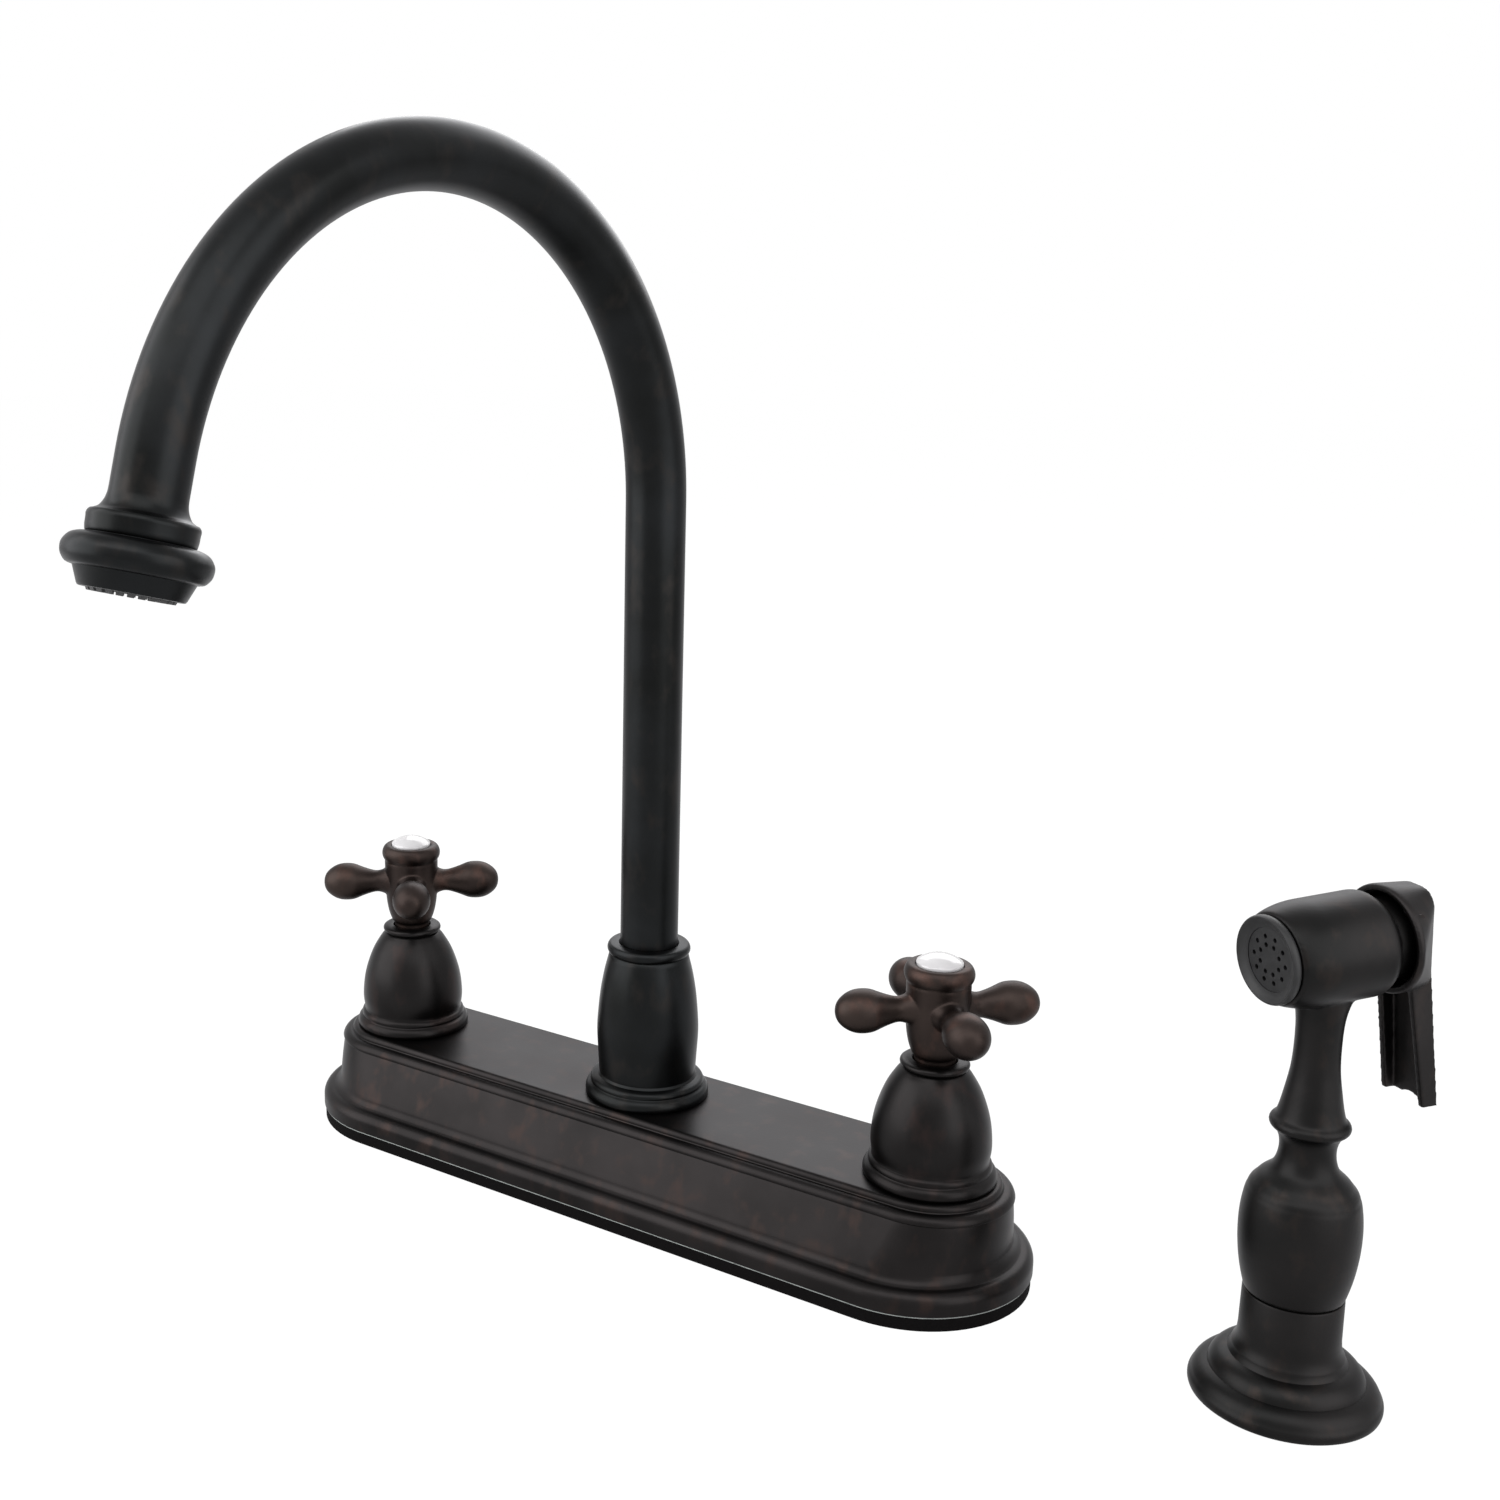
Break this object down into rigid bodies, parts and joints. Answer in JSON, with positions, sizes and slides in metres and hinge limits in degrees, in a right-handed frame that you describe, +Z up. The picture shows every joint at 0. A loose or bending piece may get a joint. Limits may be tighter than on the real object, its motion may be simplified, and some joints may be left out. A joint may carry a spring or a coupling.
{
  "type": "two handle kitchen faucet",
  "caption": "Deck plate kitchen faucet with a high arched swivel spout, cross handles on ceramic valves and a separate side sprayer in its holder.",
  "frame": {"origin": "on the spout's axis, on the sink deck at the underside of the plate's gasket", "axes": "+X along the plate towards the cold handle, +Y away from the user, +Z up"},
  "size_m": [0.3665, 0.2542, 0.3896],
  "materials": {
    "dark_bronze": "satin oil-rubbed bronze",
    "raw_brass": "machined",
    "black_rubber": "matt",
    "pale_plastic": "moulded",
    "valve_ceramic": "lapped",
    "white_porcelain": "gloss",
    "steel": "bright"
  },
  "bodies": {
    "faucet_base": {"deck_plate": "dark_bronze", "plate_gasket": "black_rubber", "waterway": "raw_brass", "hose_nipple": "raw_brass", "hot_shank": "raw_brass", "cold_shank": "raw_brass", "hot_cartridge": "raw_brass", "cold_cartridge": "raw_brass", "hot_bell": "dark_bronze", "cold_bell": "dark_bronze", "lock_washers": "steel", "lock_nuts": "raw_brass", "plate_nuts": "raw_brass", "cartridge_seals": "black_rubber", "fixed_discs": "valve_ceramic", "spout_post": "raw_brass", "spout_o_rings": "black_rubber", "thrust_ring": "pale_plastic", "spout_nut": "raw_brass", "spout_collar": "dark_bronze", "holder_base": "dark_bronze", "holder_bushing": "pale_plastic", "holder_washer": "steel", "holder_nut": "pale_plastic"},
    "spout": {"spout_tube": "dark_bronze", "spout_bushing": "pale_plastic", "spout_outlet": "dark_bronze", "aerator_housing": "pale_plastic", "aerator_screen": "pale_plastic", "aerator_washer": "black_rubber"},
    "hot_handle": {"hot_cross_handle": "dark_bronze", "hot_handle_screw": "steel", "hot_index_button": "white_porcelain", "hot_stem": "raw_brass", "hot_turning_disc": "valve_ceramic"},
    "cold_handle": {"cold_cross_handle": "dark_bronze", "cold_handle_screw": "steel", "cold_index_button": "white_porcelain", "cold_stem": "raw_brass", "cold_turning_disc": "valve_ceramic"},
    "diverter": {"diverter_piston": "raw_brass"},
    "hose_tail": {"hose_coupling": "raw_brass", "coupling_clip": "steel"},
    "sprayer": {"spray_body": "dark_bronze", "valve_seat": "raw_brass", "plunger_gland": "raw_brass", "plunger_spring": "steel", "nozzle_ring": "dark_bronze", "spray_face": "dark_bronze", "trigger_pin": "steel"},
    "trigger": {"trigger_lever": "dark_bronze"},
    "plunger_set": {"plunger": "raw_brass", "plunger_seal": "black_rubber"}
  },
  "joints": [
    {"name": "spout_swivel", "type": "hinge", "parent": "faucet_base", "child": "spout", "pos_m": [0, 0, 0.06], "axis": [0, 0, 1], "continuous": true},
    {"name": "hot_handle_turn", "type": "hinge", "parent": "faucet_base", "child": "hot_handle", "pos_m": [-0.1016, 0, 0.08], "axis": [0, 0, 1], "range_deg": [0, 90]},
    {"name": "cold_handle_turn", "type": "hinge", "parent": "faucet_base", "child": "cold_handle", "pos_m": [0.1016, 0, 0.08], "axis": [0, 0, 1], "range_deg": [-90, 0]},
    {"name": "diverter_slide", "type": "slide", "parent": "faucet_base", "child": "diverter", "axis": [0, 0, 1], "range_m": [0, 0.003]},
    {"name": "sprayer_lift", "type": "slide", "parent": "faucet_base", "child": "hose_tail", "axis": [0, 0, 1], "range_m": [0, 0.06]},
    {"name": "sprayer_turn", "type": "hinge", "parent": "hose_tail", "child": "sprayer", "pos_m": [0.2074, 0, 0.04], "axis": [0, 0, 1], "continuous": true},
    {"name": "trigger_pull", "type": "hinge", "parent": "sprayer", "child": "trigger", "pos_m": [0.21845, 0.01466, 0.1375], "axis": [-0.7986, 0.6018, 0], "range_deg": [0, 8], "stiffness_Nm_per_rad": 0.3, "springref_deg": -5.73},
    {"name": "plunger_slide", "type": "slide", "parent": "sprayer", "child": "plunger_set", "axis": [-0.6003, -0.7967, -0.0698], "range_m": [0, 0.0012], "deforming": ["plunger_spring"]}
  ],
  "couplings": [
    {"joint": "plunger_slide", "follows": "trigger_pull", "m_per_rad": 0.0085}
  ]
}
